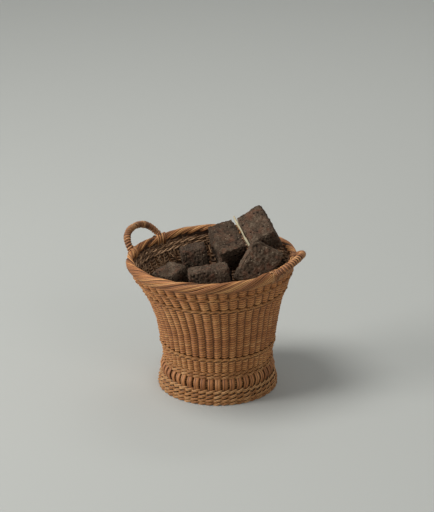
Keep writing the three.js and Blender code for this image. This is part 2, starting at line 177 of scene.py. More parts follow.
def note(mesh, name, values):
    """Keeps a number or a vector for each point of a mesh, under a name for the materials."""
    values = np.asarray(values, dtype=np.float32)
    kind, field = ("FLOAT_VECTOR", "vector") if values.ndim > 1 else ("FLOAT", "value")
    mesh.attributes.new(name, kind, "POINT").data.foreach_set(field, values.ravel())


def grown(name, tree, sizes, source=None):
    """Runs a tree and keeps what it makes as one plain mesh object."""
    maker = linked(name + "_maker", source or bpy.data.meshes.new(name + "_start"))
    modifier = maker.modifiers.new("Grow", "NODES")
    modifier.node_group = tree
    sockets = {
        item.name: item.identifier for item in tree.interface.items_tree
        if item.item_type == "SOCKET" and item.in_out == "INPUT"
    }
    for label, value in sizes.items():
        modifier[sockets[label]] = value
    evaluated = maker.evaluated_get(bpy.context.evaluated_depsgraph_get())
    mesh = bpy.data.meshes.new_from_object(evaluated)
    maker.modifiers.remove(modifier)
    bpy.data.objects.remove(maker)
    mesh.name = name
    return linked(name, mesh)


def dress(piece, body, slot, *nodes):
    """The piece stands for these CAD nodes and moves with the body."""
    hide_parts(*nodes)
    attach(piece, body)


# Materials

PEAT_DUST = "8c765c"
STREAK_LENGTH = 30
# Streaks round a rod, about 1 mm wide each, and how far apart two rods lie in their noise
STREAKS_ROUND = 9.0
ROD_JUMP = 57.0


def new_material(name):
    """A new material, its tree and its shader."""
    material = bpy.data.materials.new(name)
    material.use_nodes = True
    return material, material.node_tree, material.node_tree.nodes["Principled BSDF"]


def summed(tree, *parts):
    """The sum of some patterns, each times its weight."""
    total = 0.0
    for pattern, weight in parts:
        total = add(tree, "ShaderNodeMath", {0: pattern, 1: weight, 2: total},
                    operation="MULTIPLY_ADD")
    return total


def shaded(tree, share, dark, middle, pale):
    """A colour that runs from dark over middle to pale with the share."""
    ramp = add(tree, "ShaderNodeValToRGB", {0: share})
    stops = ramp.color_ramp.elements
    stops[0].color = linear(dark)
    stops[1].color = linear(pale)
    stops.new(0.5).color = linear(middle)
    return ramp.outputs["Color"]


def laid_over(tree, colour, *layers):
    """The colour with others laid over it in turn, each by its share."""
    for share, hex_colour in layers:
        colour = add(tree, "ShaderNodeMix", {
            "Factor": share, "A": colour, "B": linear(hex_colour),
        }, data_type="RGBA")
    return colour


def peeled_willow(name, dark, middle, pale, dirt_and_shade, streak=0.5, roughness=0.62, variety=0.25,
                  side_dirt_and_shade=0.55):
    """Peeled willow rods, dried and handled: satin, streaked along the rod, each rod in
    its own shade, with dust and painted shade where the rods dive between the stakes."""
    material, tree, surface = new_material(name)
    tone, along, around, hollow, inner = (
        add(tree, "ShaderNodeAttribute", attribute_name=label).outputs["Fac"]
        for label in ("tone", "along", "around", "hollow", "inner")
    )
    place = add(tree, "ShaderNodeTexCoord").outputs["Object"]
    along_part = add(tree, "ShaderNodeMath", {0: along, 1: 1 / (STREAK_LENGTH * MM)},
                     operation="MULTIPLY")
    around_part = add(tree, "ShaderNodeMath", {0: around, 1: STREAKS_ROUND},
                      operation="MULTIPLY")
    tone_part = add(tree, "ShaderNodeMath", {0: tone, 1: ROD_JUMP}, operation="MULTIPLY")
    fibre = add(tree, "ShaderNodeCombineXYZ", {0: along_part, 1: around_part, 2: tone_part})
    streaks = add(tree, "ShaderNodeTexNoise", {
        "Vector": fibre, "Scale": 1.0, "Detail": 3.0, "Roughness": 0.65,
    })
    # Patches about 60 mm wide where the basket has aged differently
    patches = add(tree, "ShaderNodeTexNoise", {
        "Vector": place, "Scale": 1 / (60 * MM), "Detail": 3.0, "Roughness": 0.55,
    })
    specks = add(tree, "ShaderNodeTexNoise", {
        "Vector": place, "Scale": 1 / (4 * MM), "Detail": 4.0, "Roughness": 0.7,
    })
    share = summed(tree, (streaks, streak), (tone, variety), (patches, 0.5), (specks, 0.3))
    shade = add(tree, "ShaderNodeMapRange", {
        "Value": share, "From Min": 0.35 + variety * 0.3, "From Max": 0.95 + variety * 0.7,
    })
    # The sides of a rod, where it lies against the next one, are painted darker: dust, and painted
    # shade
    round_angle = add(tree, "ShaderNodeMath", {0: around, 1: TURN}, operation="MULTIPLY")
    facing = add(tree, "ShaderNodeMath", {0: round_angle}, operation="COSINE")
    side = add(tree, "ShaderNodeMapRange", {
        "Value": facing, "From Min": 0.75, "From Max": -0.1, "To Max": side_dirt_and_shade,
    })
    # Where a rod crosses between the stakes it is painted dark: dirt, and painted shade
    dive = add(tree, "ShaderNodeMapRange", {
        "Value": hollow, "From Min": 0.4, "From Max": 1.0, "To Max": 0.85,
    })
    dirt_and_shade_share = add(tree, "ShaderNodeMath", {0: side, 1: dive}, operation="MAXIMUM")
    # Peat dust greys the side that faces into the basket
    dust_share = add(tree, "ShaderNodeMath", {
        0: add(tree, "ShaderNodeMapRange", {"Value": specks, "To Min": 0.95, "To Max": 0.35}),
        1: inner,
    }, operation="MULTIPLY")
    colour = laid_over(tree, shaded(tree, shade, dark, middle, pale),
                       (dust_share, PEAT_DUST), (dirt_and_shade_share, dirt_and_shade))
    bump = add(tree, "ShaderNodeBump", {
        "Height": streaks, "Strength": 0.5, "Distance": 0.35 * MM,
    })
    rough = add(tree, "ShaderNodeMapRange", {
        "Value": specks, "To Min": roughness - 0.1, "To Max": roughness + 0.15,
    })
    connect(tree, surface, {
        "Base Color": colour, "Normal": bump, "Roughness": rough, "IOR": 1.45,
    })
    return material


def dried_peat(name, dark, middle, dust, reddish, fibre_colour):
    """Dried, cut peat: dead matte, crumbly and fibrous, with painted shade in its pits and
    grooves, a grey-brown bloom of dust on the high spots, redder patches of less rotted
    moss, and thin pale root fibres and crumbs lying in the cut faces."""
    material, tree, surface = new_material(name)
    place = add(tree, "ShaderNodeAttribute", attribute_name="block_place").outputs["Vector"]
    pit, tone = (
        add(tree, "ShaderNodeAttribute", attribute_name=label).outputs["Fac"]
        for label in ("hollow", "tone")
    )
    crumbs = add(tree, "ShaderNodeTexNoise", {
        "Vector": place, "Scale": 1 / (4 * MM), "Detail": 7.0, "Roughness": 0.75,
    })
    clods = add(tree, "ShaderNodeTexNoise", {
        "Vector": place, "Scale": 1 / (24 * MM), "Detail": 5.0, "Roughness": 0.65,
    })
    # Root fibres: 0.8 mm wide and some 12 mm long, running with the layers of the bog
    layers = add(tree, "ShaderNodeMapping", {
        "Vector": place, "Rotation": (0.2, 0.12, 0.5),
        "Scale": (1 / (12.5 * MM), 1 / (0.8 * MM), 1 / (0.8 * MM)),
    })
    fibres = add(tree, "ShaderNodeTexNoise", {
        "Vector": layers, "Scale": 1.0, "Detail": 2.0, "Roughness": 0.5, "Distortion": 0.6,
    })
    fibre_share = add(tree, "ShaderNodeMapRange", {
        "Value": fibres, "From Min": 0.6, "From Max": 0.74, "To Max": 0.5,
    })
    shade = add(tree, "ShaderNodeMapRange", {
        "Value": summed(tree, (crumbs, 0.75), (clods, 0.6), (tone, 0.12)),
        "From Min": 0.48, "From Max": 0.98,
    })
    moss = add(tree, "ShaderNodeTexNoise", {
        "Vector": place, "Scale": 1 / (17 * MM), "Detail": 3.0, "Roughness": 0.6,
        "Distortion": 0.8,
    })
    moss_share = add(tree, "ShaderNodeMapRange", {
        "Value": moss, "From Min": 0.5, "From Max": 0.68, "To Max": 0.6,
    })
    # Loose pale crumbs about 2 mm wide, on few spots only
    grains = add(tree, "ShaderNodeTexVoronoi", {"Vector": place, "Scale": 1 / (6 * MM)})
    grain_share = add(tree, "ShaderNodeMapRange", {
        "Value": grains.outputs["Distance"], "From Min": 0.2, "From Max": 0.1,
    })
    grain_cells = add(tree, "ShaderNodeSeparateColor", {0: grains.outputs["Color"]})
    grain_chosen = add(tree, "ShaderNodeMapRange", {
        "Value": grain_cells.outputs["Red"], "From Min": 0.8, "From Max": 0.86, "To Max": 0.75,
    })
    crumb_share = add(tree, "ShaderNodeMath", {0: grain_share, 1: grain_chosen},
                      operation="MULTIPLY")
    # Painted shade: pits, grooves and crumbs darkened towards the darkest peat colour
    painted_pit_shade = add(tree, "ShaderNodeMapRange", {
        "Value": pit, "From Min": 0.25, "From Max": 0.7, "To Max": 0.85,
    })
    colour = laid_over(tree, shaded(tree, shade, dark, middle, dust), (moss_share, reddish),
                       (fibre_share, fibre_colour), (crumb_share, fibre_colour),
                       (painted_pit_shade, dark))
    crumb_bump = add(tree, "ShaderNodeBump", {
        "Height": crumbs, "Strength": 1.0, "Distance": 2.2 * MM,
    })
    fibre_bump = add(tree, "ShaderNodeBump", {
        "Height": fibres, "Strength": 0.5, "Distance": 0.5 * MM, "Normal": crumb_bump,
    })
    connect(tree, surface, {
        "Base Color": colour, "Normal": fibre_bump, "Roughness": 0.95,
        "Specular IOR Level": 0.25,
    })
    return material


# Hex colours of the dark, middle and pale streaks, and of the dirt and painted shade between the
# rods
WILLOW = peeled_willow("peeled willow", "814a23", "b4753f", "d9a266", "2f1a0c")
WILLOW_LINE = peeled_willow("peeled willow, stout rods", "834c25", "b27840", "dba76b", "2f1a0c",
                            side_dirt_and_shade=0.8)
WILLOW_FOOT = peeled_willow("peeled willow, foot", "7c4722", "b27841", "ebbb82", "2c180b",
                            side_dirt_and_shade=0.85)
# Inside willow is greyer and darker than the outer: dust, and painted shade for the pieces deep in
# the weave
WILLOW_INSIDE = peeled_willow("peeled willow, dusty and shade-painted", "63452c", "8b6342", "b48f62", "281a0f")
WILLOW_LOOSE = peeled_willow("cut willow ends, dusty", "5c4028", "8f6a48", "cfa47c", "2a1c12",
                             variety=0.8)
WILLOW_BORDER = peeled_willow("peeled willow, worn border", "74421e", "b07340", "e0aa6a",
                              "26160a", streak=0.45, side_dirt_and_shade=0.9, variety=0.5)
WILLOW_LASHING = peeled_willow("split willow lashing", "6c3d1f", "a46b3b", "cf9c68", "24140a",
                               side_dirt_and_shade=0.9, variety=0.5)
WILLOW_SLAT = peeled_willow("split willow", "7c4823", "ac7140", "d3a069", "32190b", streak=0.4,
                            side_dirt_and_shade=0.75, variety=0.22)
WILLOW_HANDLE = peeled_willow("peeled willow, handled", "5a351c", "9b653b", "d3a06a", "1e1109",
                              side_dirt_and_shade=0.95, variety=0.6)
# Hex colours of the dark peat and its painted pit shade, the peat, its bloom of dust, the moss and
# the fibres
PEAT = dried_peat("dried cut peat", "17100b", "433427", "756554", "5e3b2a", "9a8a70")
# The hidden blocks get a darker copy of the peat, painted as the shade they lie in
PEAT_DEEP = dried_peat("dried cut peat, shaded", "120d0a", "2f251e", "4c4036", "402a1e",
                       "5a4d3c")
# A reed has the same grain as willow, but is bleached and dull, with no dirt or painted shade at
# its sides
REED = peeled_willow("bleached reed", "786c50", "9c9072", "b4aa8e", "6b5a3c", streak=0.9,
                     roughness=0.7, side_dirt_and_shade=0.0)

# Trees that grow the rods

ROD_INPUTS = [
    ("Width", "Float"), ("Thickness", "Float"), ("Sides", "Int"), ("Material", "Material"),
]


def rod_section(tree, given):
    """The rounded section of a rod, with its places round the rod kept as an attribute."""
    circle = add(tree, "GeometryNodeCurvePrimitiveCircle", {
        "Resolution": given["Sides"], "Radius": 0.5,
    })
    marked = add(tree, "GeometryNodeStoreNamedAttribute", {
        "Geometry": circle, "Name": "around",
        "Value": add(tree, "GeometryNodeSplineParameter").outputs["Factor"],
    })
    scale = add(tree, "ShaderNodeCombineXYZ", {0: given["Thickness"], 1: given["Width"], 2: 1.0})
    return add(tree, "GeometryNodeTransform", {"Geometry": marked, "Scale": scale})


def finish_rods(tree, mesh, given):
    """Smooth shading, the material, and the tree's output."""
    smooth = add(tree, "GeometryNodeSetShadeSmooth", {"Geometry": mesh})
    loose = add(tree, "GeometryNodeRealizeInstances", {"Geometry": smooth})
    coated = add(tree, "GeometryNodeSetMaterial", {
        "Geometry": loose, "Material": given["Material"],
    })
    add(tree, "NodeGroupOutput", {"Geometry": coated})


def make_rows_tree():
    """Rows of rods twined round upright stakes, or round the flat base's radial sticks."""
    tree, given = new_tree("Twined rows", [
        (label, kind) for kind, labels in (
            ("Int", ("Rows", "Rods", "Span", "Stakes", "Steps", "Seed")),
            ("Float", ("Bottom", "Top", "Swing", "Rise", "Lean", "Rounding", "Proud", "Wander",
                       "Unevenness", "Arch", "Lying", "Inner", "Outer")),
        ) for label in labels
    ] + ROD_INPUTS)
    count = add(tree, "ShaderNodeMath", {0: given["Rows"], 1: given["Rods"]}, operation="MULTIPLY")
    starts = add(tree, "GeometryNodeMeshLine", {
        "Count": count, "Start Location": (0, 0, 0), "Offset": (0, 0, 0),
    })
    index = add(tree, "GeometryNodeInputIndex")
    row_of = add(tree, "ShaderNodeMath", {0: index, 1: given["Rods"]}, operation="DIVIDE")
    row_number = add(tree, "ShaderNodeMath", {0: row_of}, operation="FLOOR")
    rod_number = add(tree, "ShaderNodeMath", {0: index, 1: given["Rods"]}, operation="MODULO")
    shade = add(tree, "FunctionNodeRandomValue", {"ID": index, "Seed": given["Seed"]})
    marked = starts
    for name, value in (("row", row_number), ("rod", rod_number), ("tone", shade)):
        marked = add(tree, "GeometryNodeStoreNamedAttribute", {
            "Geometry": marked, "Name": name, "Value": value,
        })
    loop = add(tree, "GeometryNodeCurvePrimitiveCircle", {
        "Resolution": add(tree, "ShaderNodeMath", {0: given["Stakes"], 1: given["Steps"]},
                          operation="MULTIPLY"),
        "Radius": 1.0,
    })
    loops = add(tree, "GeometryNodeInstanceOnPoints", {"Points": marked, "Instance": loop})
    rods = add(tree, "GeometryNodeRealizeInstances", {"Geometry": loops})

    place = add(tree, "ShaderNodeSeparateXYZ", {0: add(tree, "GeometryNodeInputPosition")})
    angle = add(tree, "ShaderNodeMath", {0: place.outputs["Y"], 1: place.outputs["X"]},
                operation="ARCTAN2")
    row, rod, tone = (
        add(tree, "GeometryNodeInputNamedAttribute", {"Name": label})
        for label in ("row", "rod", "tone")
    )

    # Where the rod is in its run past the stakes
    stake_rate = add(tree, "ShaderNodeMath", {0: given["Stakes"], 1: TURN}, operation="DIVIDE")
    stake_place = add(tree, "ShaderNodeMath", {0: angle, 1: stake_rate}, operation="MULTIPLY")
    run = add(tree, "ShaderNodeMath", {0: stake_place, 1: given["Span"]}, operation="DIVIDE")
    rod_share = add(tree, "ShaderNodeMath", {0: rod, 1: given["Rods"]}, operation="DIVIDE")
    run_turns = add(tree, "ShaderNodeMath", {0: run, 1: rod_share}, operation="ADD")
    run_angle = add(tree, "ShaderNodeMath", {0: run_turns, 1: TURN}, operation="MULTIPLY")
    cosine = add(tree, "ShaderNodeMath", {0: run_angle}, operation="COSINE")
    sine = add(tree, "ShaderNodeMath", {0: run_angle}, operation="SINE")
    front = add(tree, "ShaderNodeMath", {0: cosine, 1: given["Lean"]}, operation="ADD")
    crest = add(tree, "ShaderNodeMath", {0: given["Lean"], 1: 1.0}, operation="ADD")
    front_share = add(tree, "ShaderNodeMath", {0: front, 1: crest}, operation="DIVIDE")
    depth_share = add(tree, "ShaderNodeMath", {
        0: add(tree, "ShaderNodeMath", {0: front_share}, operation="ABSOLUTE"),
        1: given["Rounding"],
    }, operation="POWER")
    bow = add(tree, "ShaderNodeMath", {
        0: depth_share, 1: add(tree, "ShaderNodeMath", {0: front_share}, operation="SIGN"),
    }, operation="MULTIPLY")

    # Hand work: rods wander a little, and are not equally thick all along
    ring_place = add(tree, "ShaderNodeVectorMath", {
        0: add(tree, "GeometryNodeInputPosition"), 1: (2.5, 2.5, 2.5),
    }, operation="MULTIPLY")
    row_offset = add(tree, "ShaderNodeMath", {0: tone, 1: 40.0, 2: row}, operation="MULTIPLY_ADD")
    noise_place = add(tree, "ShaderNodeVectorMath", {
        0: ring_place, 1: add(tree, "ShaderNodeCombineXYZ", {2: row_offset}),
    }, operation="ADD")
    wander_noise = add(tree, "ShaderNodeTexNoise", {
        "Vector": noise_place, "Scale": 1.6, "Detail": 2.0,
    })
    wander_part = add(tree, "ShaderNodeMath", {0: wander_noise, 1: 0.5}, operation="SUBTRACT")
    wander = add(tree, "ShaderNodeMath", {0: wander_part, 1: given["Wander"]},
                 operation="MULTIPLY")
    swing_noise = add(tree, "ShaderNodeTexNoise", {
        "Vector": noise_place, "Scale": 5.0, "Detail": 2.0,
    })
    swing_change = add(tree, "ShaderNodeMapRange", {
        "Value": swing_noise, "From Min": 0.3, "From Max": 0.7, "To Min": 0.82, "To Max": 1.15,
    })
    swing = add(tree, "ShaderNodeMath", {
        0: add(tree, "ShaderNodeMath", {0: bow, 1: given["Swing"]}, operation="MULTIPLY"),
        1: swing_change,
    }, operation="MULTIPLY")
    arched = add(tree, "ShaderNodeMath", {0: cosine, 1: given["Arch"], 2: wander},
                 operation="MULTIPLY_ADD")
    rise = add(tree, "ShaderNodeMath", {0: sine, 1: given["Rise"], 2: arched},
               operation="MULTIPLY_ADD")

    row_middle = add(tree, "ShaderNodeMath", {0: row, 1: 0.5}, operation="ADD")
    row_share = add(tree, "ShaderNodeMath", {0: row_middle, 1: given["Rows"]},
                    operation="DIVIDE")
    upright_height = add(tree, "ShaderNodeMath", {
        0: add(tree, "ShaderNodeMapRange", {
            "Value": row_share, "To Min": given["Bottom"], "To Max": given["Top"],
        }), 1: rise,
    }, operation="ADD")
    height_share = add(tree, "ShaderNodeMath", {0: upright_height, 1: OUTLINE_TOP * MM},
                       operation="DIVIDE")
    curves = []
    for column, reach in ((1, OUTLINE_REACH), (2, 1.0)):
        curve = add(tree, "ShaderNodeFloatCurve", {"Value": height_share})
        line = curve.mapping.curves[0]
        while len(line.points) < len(OUTLINE):
            line.points.new(0.5, 0.5)
        for point, knot in zip(line.points, OUTLINE):
            point.location = (knot[0] / OUTLINE_TOP, knot[column] / reach)
            point.handle_type = "VECTOR"
        curve.mapping.update()
        curves.append(curve)
    wall = add(tree, "ShaderNodeMath", {0: curves[0], 1: OUTLINE_REACH * MM},
               operation="MULTIPLY")
    half_rod = add(tree, "ShaderNodeMath", {0: given["Thickness"], 1: 0.5}, operation="MULTIPLY")
    depth = add(tree, "ShaderNodeMath", {0: given["Swing"], 1: half_rod}, operation="ADD")
    back = add(tree, "ShaderNodeMath", {0: depth, 1: given["Proud"]}, operation="SUBTRACT")
    upright_radius = add(tree, "ShaderNodeMath", {
        0: add(tree, "ShaderNodeMath", {0: wall, 1: back}, operation="SUBTRACT"), 1: swing,
    }, operation="ADD")
    lying_radius = add(tree, "ShaderNodeMath", {
        0: add(tree, "ShaderNodeMapRange", {
            "Value": row_share, "To Min": given["Inner"], "To Max": given["Outer"],
        }), 1: rise,
    }, operation="ADD")
    lying_height = add(tree, "ShaderNodeMath", {0: given["Bottom"], 1: swing}, operation="ADD")
    radius = add(tree, "ShaderNodeMix", {
        "Factor": given["Lying"], "A": upright_radius, "B": lying_radius,
    })
    height = add(tree, "ShaderNodeMix", {
        "Factor": given["Lying"], "A": upright_height, "B": lying_height,
    })
    rim_share = curves[1]
    double = add(tree, "ShaderNodeMath", {0: angle, 1: 2.0}, operation="MULTIPLY")
    oval = add(tree, "ShaderNodeMath", {
        0: add(tree, "ShaderNodeMath", {0: double}, operation="SINE"),
        1: add(tree, "ShaderNodeMath", {0: rim_share, 1: RIM_OVAL * MM}, operation="MULTIPLY"),
        2: radius,
    }, operation="MULTIPLY_ADD")
    axis = add(tree, "ShaderNodeMath", {0: rim_share, 1: -RIM_LEAN * MM, 2: FOOT_AXIS * MM},
               operation="MULTIPLY_ADD")
    new_place = add(tree, "ShaderNodeCombineXYZ", {
        0: add(tree, "ShaderNodeMath", {
            0: add(tree, "ShaderNodeMath", {0: angle}, operation="COSINE"), 1: oval, 2: axis,
        }, operation="MULTIPLY_ADD"),
        1: add(tree, "ShaderNodeMath", {
            0: add(tree, "ShaderNodeMath", {0: angle}, operation="SINE"), 1: oval,
        }, operation="MULTIPLY"),
        2: height,
    })
    # Near 1 where a rod crosses between the stakes at mid-depth; the materials paint it dark
    # there, as dirt and painted shade
    hollow = add(tree, "ShaderNodeMapRange", {
        "Value": depth_share, "From Min": 0.75, "From Max": 0.0,
    })
    inner = add(tree, "ShaderNodeMapRange", {"Value": bow, "From Min": -0.1, "From Max": -0.5})
    length = add(tree, "ShaderNodeMath", {0: angle, 1: oval}, operation="MULTIPLY")
    girth_noise = add(tree, "ShaderNodeTexNoise", {
        "Vector": noise_place, "Scale": 3.0, "Detail": 1.0,
    })
    girth = add(tree, "ShaderNodeMath", {
        0: add(tree, "ShaderNodeMath", {0: girth_noise, 1: 0.5}, operation="SUBTRACT"),
        1: given["Unevenness"], 2: 1.0,
    }, operation="MULTIPLY_ADD")
    for name, value in (
        ("along", length), ("hollow", hollow), ("inner", inner), ("girth", girth),
    ):
        rods = add(tree, "GeometryNodeStoreNamedAttribute", {
            "Geometry": rods, "Name": name, "Value": value,
        })
    placed = add(tree, "GeometryNodeSetPosition", {"Geometry": rods, "Position": new_place})
    turned = add(tree, "GeometryNodeSetCurveNormal", {"Curve": placed}, mode="Z_UP")
    mesh = add(tree, "GeometryNodeCurveToMesh", {
        "Curve": turned, "Profile Curve": rod_section(tree, given),
        "Scale": add(tree, "GeometryNodeInputNamedAttribute", {"Name": "girth"}),
    })
    finish_rods(tree, mesh, given)
    return tree


def make_paths_tree():
    """A rod along each line of the starting mesh, with its flat side turned outwards."""
    tree, given = new_tree("Rods along paths", ROD_INPUTS)
    curves = add(tree, "GeometryNodeMeshToCurve", {"Mesh": given["Geometry"]})
    outward = add(tree, "GeometryNodeInputNamedAttribute", {"Name": "outward"},
                  data_type="FLOAT_VECTOR")
    turned = add(tree, "GeometryNodeSetCurveNormal", {"Curve": curves, "Normal": outward},
                 mode="FREE")
    measured = add(tree, "GeometryNodeStoreNamedAttribute", {
        "Geometry": turned, "Name": "along",
        "Value": add(tree, "GeometryNodeSplineParameter").outputs["Length"],
    })
    mesh = add(tree, "GeometryNodeCurveToMesh", {
        "Curve": measured, "Profile Curve": rod_section(tree, given),
        "Scale": add(tree, "GeometryNodeInputNamedAttribute", {"Name": "girth"}),
        "Fill Caps": True,
    })
    finish_rods(tree, mesh, given)
    return tree


ROWS_TREE = make_rows_tree()
PATHS_TREE = make_paths_tree()


def rows(name, material, bottom, top, count, stakes=STAKES, steps=8, swing=4.8, rise=1.4,
         lean=0.0, rounding=1.5, proud=0.0, wander=0.5, unevenness=0.2, width=6.4,
         thickness=3.2, sides=6, seed=1, arch=0.0, lying=0.0, inner=0, outer=0):
    """Rows of two rods each between two heights, or between two radii where they lie flat."""
    lengths = {
        "Bottom": bottom, "Top": top, "Swing": swing, "Rise": rise, "Proud": proud,
        "Wander": wander, "Arch": arch, "Inner": inner, "Outer": outer, "Width": width,
        "Thickness": thickness,
    }
    return grown(name, ROWS_TREE, {
        "Rows": count, "Rods": 2, "Span": 2, "Stakes": stakes, "Steps": steps,
        "Lean": lean, "Rounding": rounding, "Unevenness": unevenness, "Lying": lying,
        "Seed": seed, "Sides": sides, "Material": material,
        **{label: value * MM for label, value in lengths.items()},
    })


def rods_along(name, material, paths, width, thickness, sides=8):
    """paths: for each rod its points in millimetres, outward directions, girths, hollows
    and a tone."""
    points = np.concatenate([path["points"] for path in paths])
    edges = []
    first = 0
    for path in paths:
        size = len(path["points"])
        edges += [(first + at, first + at + 1) for at in range(size - 1)]
        first += size
    source = bpy.data.meshes.new(name + "_paths")
    source.from_pydata([tuple(point) for point in points * MM], edges, [])
    for key in ("girth", "hollow", "tone"):
        note(source, key, np.concatenate([
            np.broadcast_to(np.asarray(path[key], dtype=float), len(path["points"]))
            for path in paths
        ]))
    note(source, "outward", np.concatenate([path["outward"] for path in paths]))
    return grown(name, PATHS_TREE, {
        "Width": width * MM, "Thickness": thickness * MM, "Sides": sides, "Material": material,
    }, source)


def joined(name, *pieces):
    """Several meshes as one object."""
    for piece in pieces:
        piece.select_set(True)
    bpy.context.view_layer.objects.active = pieces[0]
    bpy.ops.object.join()
    bpy.ops.object.select_all(action="DESELECT")
    pieces[0].name = name
    pieces[0].data.name = name
    return pieces[0]


bpy.ops.object.select_all(action="DESELECT")
rng = np.random.default_rng(11)

# Wall

dress(rows("lower_band_rods", WILLOW, WAIST_HIGH, LOWER_TOP, 5, seed=3), "basket", "willow",
      "lower_band_weave", "inner_wall_weave")
dress(rows("main_wall_rods", WILLOW, LINE_LOW_TOP, MAIN_TOP, 20, seed=4), "basket", "willow",
      "main_wall_weave")
dress(rows("upper_band_low_rods", WILLOW, LINE_MIDDLE_TOP, UPPER_LOW_TOP, 4, swing=5.4,
           width=6.8, seed=5), "basket", "willow", "upper_band_low")
dress(rows("upper_band_high_rods", WILLOW, LINE_HIGH_TOP, ROLL_BOTTOM, 3, swing=5.4, width=6.8,
           seed=6), "basket", "willow", "upper_band_high")
for label, bottom, top, seed in (
    ("low", LOWER_TOP, LINE_LOW_TOP, 7),
    ("middle", MAIN_TOP, LINE_MIDDLE_TOP, 8),
    ("high", UPPER_LOW_TOP, LINE_HIGH_TOP, 9),
):
    dress(rows(f"twined_line_{label}_rods", WILLOW_LINE, bottom - 1.5, top - 0.5, 1, lean=0.25,
               rounding=0.8, proud=2.4, swing=4.4, rise=1.3, arch=2.6, width=5.6,
               thickness=5.6, sides=10, seed=seed), "basket", "willow_pale",
          f"twined_line_{label}")

# Depths below the wall's outer line
STAKE_DEPTH = 6.4
CORE_DEPTH = 6.6
CORE_THICKNESS = 1.2
LOOSE_DEPTH = 12.6
TWIST_DEPTH = 13.4


def wall_core():
    """The middle of the weave, where the rods cross, as a sheet painted dark as shade: it keeps
    daylight out.
    """
    heights = np.arange(WAIST_HIGH, ROLL_MIDDLE - 4, 4.0)
    count = 2 * STAKES
    rings = len(heights)
    angle = np.arange(count) * STAKE_STEP / 2
    points = [
        on_wall(wall_radius(height) - depth, angle, height)
        for depth in (CORE_DEPTH, CORE_DEPTH + CORE_THICKNESS) for height in heights
    ]
    faces = []
    for level in (*range(rings - 1), *range(rings, 2 * rings - 1)):
        for at in range(count):
            after = (at + 1) % count
            ring = [level * count + at, level * count + after,
                    (level + 1) * count + after, (level + 1) * count + at]
            faces.append(ring if level < rings else ring[::-1])
    low = (rings - 1) * count
    high = (2 * rings - 1) * count
    for at in range(count):
        after = (at + 1) % count
        faces.append([after, at, rings * count + at, rings * count + after])
        faces.append([low + at, low + after, high + after, high + at])
    mesh = bpy.data.meshes.new("wall_core")
    mesh.from_pydata([tuple(point) for point in np.concatenate(points) * MM], [], faces)
    # A hollow of 0.95 paints the sheet mostly in the material's darkest colour, as painted shade
    for name, value in (("tone", 0.3), ("hollow", 0.95)):
        note(mesh, name, np.full(len(mesh.vertices), value))
    mesh.materials.append(WILLOW_INSIDE)
    return linked("wall_core", mesh)


# The stakes deep in the weave are painted partly dark with a hollow of 0.6, as painted shade
stake_heights = np.arange(WAIST_MIDDLE, ROLL_MIDDLE - 2, 8.0)
stakes = []
for number in range(STAKES):
    angle = np.full_like(stake_heights, number * STAKE_STEP)
    stakes.append({
        "points": on_wall(wall_radius(stake_heights) - STAKE_DEPTH, angle, stake_heights),
        "outward": outwards(angle), "girth": 1.0, "hollow": 0.6, "tone": rng.random(),
    })
stake_rods = rods_along("wall_stake_rods", WILLOW_INSIDE, stakes, width=6.5, thickness=4,
                        sides=6)

# Cut ends of the rods lie slanting against the inner side of the wall
LOOSE_ENDS = 560
LOOSE_TOP = 292
LOOSE_DROP = 80
loose_ends = []
for number in range(LOOSE_ENDS):
    share = np.linspace(0, 1, 5)
    slant = rng.normal(0, 0.5)
    length = rng.uniform(9, 20)
    height = LOOSE_TOP - LOOSE_DROP * rng.random() ** 1.5 + share * length * math.cos(slant)
    angle = rng.uniform(0, TURN) + share * length * math.sin(slant) / ROLL_RADIUS
    loose_ends.append({
        "points": on_wall(wall_radius(height) - LOOSE_DEPTH - 2.4 * share, angle, height),
        "outward": -outwards(angle), "girth": 1.0 - 0.3 * share, "hollow": 0.1,
        "tone": rng.random(),
    })
loose_rods = rods_along("wall_loose_rods", WILLOW_LOOSE, loose_ends, width=3.6, thickness=2.6,
                        sides=6)

# Twisted pairs of rods hold the stakes inside, just under the border. They are painted
# darker as shade where a rod turns behind its partner, and the farther round from this lit angle.
LIT_SIDE_ANGLE = 1.75
TWIST_HEIGHTS = (297, 288)
TWIST_STEPS = 8
twists = []
for height in TWIST_HEIGHTS:
    for partner in (0, math.pi):
        angle = np.linspace(0, TURN, TWIST_STEPS * STAKES + 1)
        swing = angle * STAKES / 2 + partner
        level = height + roll_height(angle) - ROLL_MIDDLE + 2.3 * np.sin(swing)
        tones = rng.random(STAKES + 1)
        twists.append({
            "points": on_wall(wall_radius(level) - TWIST_DEPTH + 1.6 * np.cos(swing), angle,
                              level),
            "outward": -outwards(angle), "girth": 1.0,
            "hollow": np.clip(0.35 + 0.35 * np.cos(swing)
                              + 0.25 * (1 - np.cos(angle - LIT_SIDE_ANGLE)), 0, 1),
            "tone": np.repeat(tones, TWIST_STEPS)[:len(angle)],
        })
twist_rods = rods_along("wall_twist_rods", WILLOW_LOOSE, twists, width=4.2, thickness=3.6,
                        sides=7)
dress(joined("wall_stakes", stake_rods, wall_core(), loose_rods, twist_rods), "basket",
      "willow", "side_stakes")

# Foot, slats and waist

# Rows of stout rods, less even than the fine weavers
STOUT = {"lean": 0.35, "rounding": 0.85, "wander": 0.7, "unevenness": 0.35, "sides": 10}
for label, (bottom, top), count, width, rise, seed in (
    ("bottom", FOOT_ROWS[0], 2, 6.0, 1.9, 12),
    ("middle", FOOT_ROWS[1], 1, 6.6, 2.3, 13),
    ("top", FOOT_ROWS[2], 1, 6.4, 2.3, 14),
):
    nodes = [f"foot_row_{label}"] + (["foot_inner_weave"] if label == "middle" else [])
    dress(rows(f"foot_row_{label}_rods", WILLOW_FOOT, bottom, top, count, swing=4.4, rise=rise,
               width=width, thickness=5.4, seed=seed, **STOUT), "basket", "willow", *nodes)

